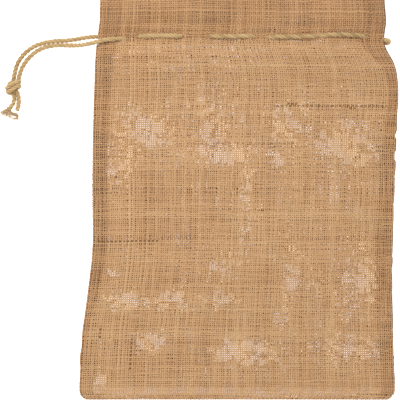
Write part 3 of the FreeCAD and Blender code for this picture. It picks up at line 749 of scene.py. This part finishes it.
class Layer:
    """A ply's threads: warps along it and wefts across it, on the surface place(across, along)."""

    def __init__(self, place, face, seed, start, end, look, warps=WARPS, width=WIDTH, outer=False):
        rng = np.random.default_rng(seed)
        self.look = look
        self.rows = int(round((end - start) / PITCH))
        self.row = (end - start) / self.rows
        along = np.linspace(start, end, 2 * self.rows + 1)
        across = np.linspace(0, 1, 2 * warps + 1)
        warp_at, weft_at = across[1::2], along[1::2]
        x = (across - MIDDLE_SHARE) * width
        parity = (np.arange(warps)[:, None] + np.arange(self.rows)[None, :]) % 2 * 2 - 1
        warp_open = openness(rng, x[1::2, None], along[None, :], along) if outer else 0
        weft_open = openness(rng, x[None, :], weft_at[:, None], x) if outer else 0
        warp_dense = density(x[1::2, None], along[None, :]) if outer else INNER_DENSITY
        weft_dense = density(x[None, :], weft_at[:, None]) if outer else INNER_DENSITY
        warp_slub = slub_strength(False, x[1::2], along) if outer and face > 0 else 0
        weft_slub = slub_strength(True, weft_at, x) if outer and face > 0 else 0
        settled = ease((along - FOLD_TOP) / SETTLE) if outer else 1
        self.warps, self.warp_yarn = self.threads(
            rng, place, face, warp_at, along, parity, warp_open, warp_dense, warp_slub,
            settled * PITCH / width, PITCH / width)
        settled = ease((weft_at[:, None] - FOLD_TOP) / SETTLE) if outer else 1
        self.wefts, self.weft_yarn = self.threads(
            rng, place, face, weft_at, across, -parity.T, weft_open, weft_dense, weft_slub,
            settled * PITCH, PITCH, x)

    def threads(self, rng, place, face, at, points, parity, opening, dense, slub, pitch, width, x=None):
        """One set of threads at these places, with two points for each thread that they cross."""
        far = points if x is None else x
        count = len(at)
        lift = np.zeros((count, len(points)))
        lift[:, 1::2] = parity * LIFT
        own, streak = rng.normal(size=(count, 1)), streaks(rng, count, far)
        offset = (PLACE_OWN * own + PLACE_FINE * wander(rng, count, far, FINE_LENGTH)
                  + PLACE_BROAD * wander(rng, 1, far, BROAD_LENGTH))
        offset = offset + (BACK_OFFSET if face < 0 else 0.0)
        line = at[:, None] + offset * (1 - ease(OPEN_EVENS * opening)) * pitch
        uneven = wander(rng, count, far, UNEVEN_LENGTH)
        share = self.look[0] * (1 + WIDTH_OWN * own + WIDTH_STREAK * streak + WIDTH_UNEVEN * uneven
                                + WIDTH_SLUB * slub)
        share = share * (1 - opening) + OPEN_SHARE * (1 + WIDTH_OWN * own + WIDTH_UNEVEN * uneven) * opening
        share = share * (1 + HEM_DENSER * dense[0] + BAND_DENSER * dense[1])
        share = np.clip(share, THINNEST, THICKEST)
        # the look's tone carries the painted shade of the plies below the front
        tone = self.look[1] + TONE_OWN * own + TONE_STREAK * streak + OPEN_TONE * opening - TONE_SLUB * slub
        # painted shade: darker over the hem and the seam bands, where more plies lie beneath
        tone = tone - HEM_PAINTED_SHADE * dense[0] - BAND_PAINTED_SHADE * dense[1]
        along = np.broadcast_to(points, lift.shape)
        half = share / 2 * width
        if x is None:
            grid = ribbons(place, line, along, half, 0.0, lift, face)
        else:
            grid = ribbons(place, along, line, 0.0, half, lift, face)
        return grid, yarn_of(np.broadcast_to(far, lift.shape) + own, tone, lift)

    def add_to(self, mesh, columns=None, rows=None):
        """The part between these warps and these wefts, or all of it."""
        c0, c1 = columns or (0, len(self.warps))
        r0, r1 = rows or (0, self.rows)
        mesh.add(self.warps[c0:c1, 2 * r0:2 * r1 + 1], self.warp_yarn[c0:c1, 2 * r0:2 * r1 + 1])
        mesh.add(self.wefts[r0:r1, 2 * c0:2 * c1 + 1], self.weft_yarn[r0:r1, 2 * c0:2 * c1 + 1])

    def piece(self, name, *nodes, columns=None, rows=None):
        mesh = Mesh()
        self.add_to(mesh, columns, rows)
        return settle(mesh.piece(name, jute), "jute_cloth", *nodes)


SPLIT_WARP = 71                 # the mouth's two sides meet at this thread, on the middle line
SIDES = ((-1, "left", (0, SPLIT_WARP)), (1, "right", (SPLIT_WARP, WARPS)))
GATHERED_FROM = -0.050          # cloth above this can be drawn together
HEM_TURN = (PLY + PLY_GAP) / 2  # radius of the fold along the mouth
MOUTH = HALF_LENGTH - HEM_TURN
ALLOWANCE_FROM, ALLOWANCE_WIDTH = 0.0013, 0.0132
BODY_PLIES = (0.00135, 0.0023)  # heights of the allowance's plies above the back's lower face
HEM_PLIES = (0.0023, 0.00325, 0.0042, 0.00515)
BODY_STRIP, HEM_STRIP = (-0.199, ALLOWANCE_TOP), (HEM_STRIP_FROM, 0.201)


def make_face(face, name, seed):
    """One face of the pouch, in three pieces: the lower part, and the left and right parts above it, where
    the drawcord draws the real cloth together.
    """
    look = FRONT_LOOK if face > 0 else BACK_LOOK_PAINTED_SHADE
    layer = Layer(partial(on_ply, face, 0.0), face, seed, FOLD_TOP, MOUTH, look, outer=True)
    low = int(round((GATHERED_FROM - FOLD_TOP) / layer.row))
    node = f"{name}_panel"
    lower = layer.piece(f"{name}_cloth_lower", node, rows=(0, low))
    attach(lower, "pouch")
    for side, label, columns in SIDES:
        upper = layer.piece(f"{name}_cloth_upper_{label}", node, columns=columns, rows=(low, layer.rows))
        gathers(upper)


def make_turn_in(face, name, seed):
    """The hem's inner ply on one face, in two pieces, left and right."""
    layer = Layer(partial(on_turn_in, face), face, seed, 0.0, HEM_DEPTH, TURN_IN_LOOK_PAINTED_SHADE)
    for side, label, columns in SIDES:
        piece = layer.piece(f"hem_turn_in_{name}_{label}", f"hem_turn_in_{name}", columns=columns)
        gathers(piece)


def make_fold():
    """The fold at the bottom, up to where both faces start."""
    reach = FOLD_RADIUS * math.pi / 2 + FOLD_TOP - (-HALF_LENGTH + PLY / 2 + FOLD_RADIUS)
    layer = Layer(on_fold, 1, 41, -reach, reach, FRONT_LOOK)
    fold = layer.piece("bottom_fold_cloth", "bottom_fold")
    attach(fold, "pouch")


def make_allowance(side, label, seed):
    """The plies of cloth inside a side seam: two down the body and four in the hem."""
    mesh, length = Mesh(), 0.0
    warps = int(round(ALLOWANCE_WIDTH / PITCH))
    for heights, (start, end) in ((BODY_PLIES, BODY_STRIP), (HEM_PLIES, HEM_STRIP)):
        for height in heights:
            place = partial(on_allowance, side, height)
            Layer(place, 1, seed, start, end, INNER_LOOK_PAINTED_SHADE, warps=warps, width=ALLOWANCE_WIDTH).add_to(mesh)
            seed += 1
            length += end - start
    strip = mesh.piece(f"seam_allowance_{label}_cloth", jute)
    settle(strip, "jute_cloth", f"seam_allowance_{label}", f"hem_corner_{label}")
    gathers(strip)


SEAM_THREAD = 0.0004            # radius
SEAM_INSET = 0.0009             # from the seam's edge to the thread
STITCH, STITCH_STEPS = 0.0032, 6
STITCH_DIP = 0.00045
SEWING_STRANDS, SEWING_TWIST, SEWING_SEED = 2, 0.0016, 50
THREAD_FROM, THREAD_TO = -0.190, 0.2005


def make_seam_thread(side, label):
    """The lockstitch down a side seam, which dips at each stitch."""
    y = np.arange(THREAD_FROM, THREAD_TO, STITCH / STITCH_STEPS)
    share = hem_share(y)
    middle = BACK_RISE * share + PLY + (SEAM_STACK + (HEM_STACK - SEAM_STACK) * share) / 2
    z = middle + STITCH_DIP * np.cos(y * 2 * math.pi / STITCH)
    x = edge_x(LEFT_EDGE if side < 0 else RIGHT_EDGE, y) - side * SEAM_INSET
    mesh = Mesh()
    add_rope(mesh, np.stack([x, y, z], -1), SEAM_THREAD, np.random.default_rng(SEWING_SEED),
             SEWING_STRANDS, SEWING_TWIST, STITCH / STITCH_STEPS)
    thread = mesh.piece(f"seam_stitches_{label}", sewing)
    gathers(settle(thread, "sewing_thread", f"seam_thread_{label}", f"hem_thread_{label}"))


for facing, face_name, face_seed in ((1, "front", 21), (-1, "back", 22)):
    make_face(facing, face_name, face_seed)
    make_turn_in(facing, face_name, face_seed + 10)
make_fold()
for seam_side, seam_label, _ in SIDES:
    make_allowance(seam_side, seam_label, 60 + seam_side * 10)
    make_seam_thread(seam_side, seam_label)


# Light and floor
GROUND_HALF, GROUND_Z = 3.0, -0.0002
GROUND_COLOUR, GROUND_ROUGHNESS, GROUND_GLOW = (0.92, 0.92, 0.915, 1), 0.9, 0.85
# (name, place, size, watts)
LIGHTS = (("key", (-0.9, 0.8, 1.6), 1.0, 26), ("fill", (1.3, -0.6, 1.5), 1.6, 9))
WHITE, SKY_STRENGTH = (1, 1, 1, 1), 0.55


def make_floor():
    mesh = bpy.data.meshes.new("floor")
    corners = [(x * GROUND_HALF, y * GROUND_HALF, GROUND_Z) for x, y in ((-1, -1), (1, -1), (1, 1), (-1, 1))]
    mesh.from_pydata(corners, [], [(0, 1, 2, 3)])
    material = bpy.data.materials.new("pale_floor")
    material.use_nodes = True
    shader = material.node_tree.nodes["Principled BSDF"]
    shader.inputs["Base Color"].default_value = GROUND_COLOUR
    shader.inputs["Roughness"].default_value = GROUND_ROUGHNESS
    shader.inputs["Emission Color"].default_value = WHITE
    shader.inputs["Emission Strength"].default_value = GROUND_GLOW
    mesh.materials.append(material)
    floor = bpy.data.objects.new("floor", mesh)
    bpy.context.scene.collection.objects.link(floor)


def make_light(name, place, size, power):
    """A square light that points at the pouch's middle."""
    data = bpy.data.lights.new(name, "AREA")
    data.size = size
    data.energy = power
    light = bpy.data.objects.new(name, data)
    light.location = place
    light.rotation_mode = "QUATERNION"
    light.rotation_quaternion = (-Vector(place)).to_track_quat("-Z", "Y")
    bpy.context.scene.collection.objects.link(light)


def make_stage():
    make_floor()
    for name, place, size, power in LIGHTS:
        make_light(name, place, size, power)
    world = bpy.data.worlds.new("studio")
    world.use_nodes = True
    sky = world.node_tree.nodes["Background"]
    sky.inputs["Color"].default_value = WHITE
    sky.inputs["Strength"].default_value = SKY_STRENGTH
    bpy.context.scene.world = world
    bpy.context.scene.view_settings.view_transform = "Standard"
    bpy.context.scene.cycles.use_denoising = False      # it would smooth the weave away


make_stage()
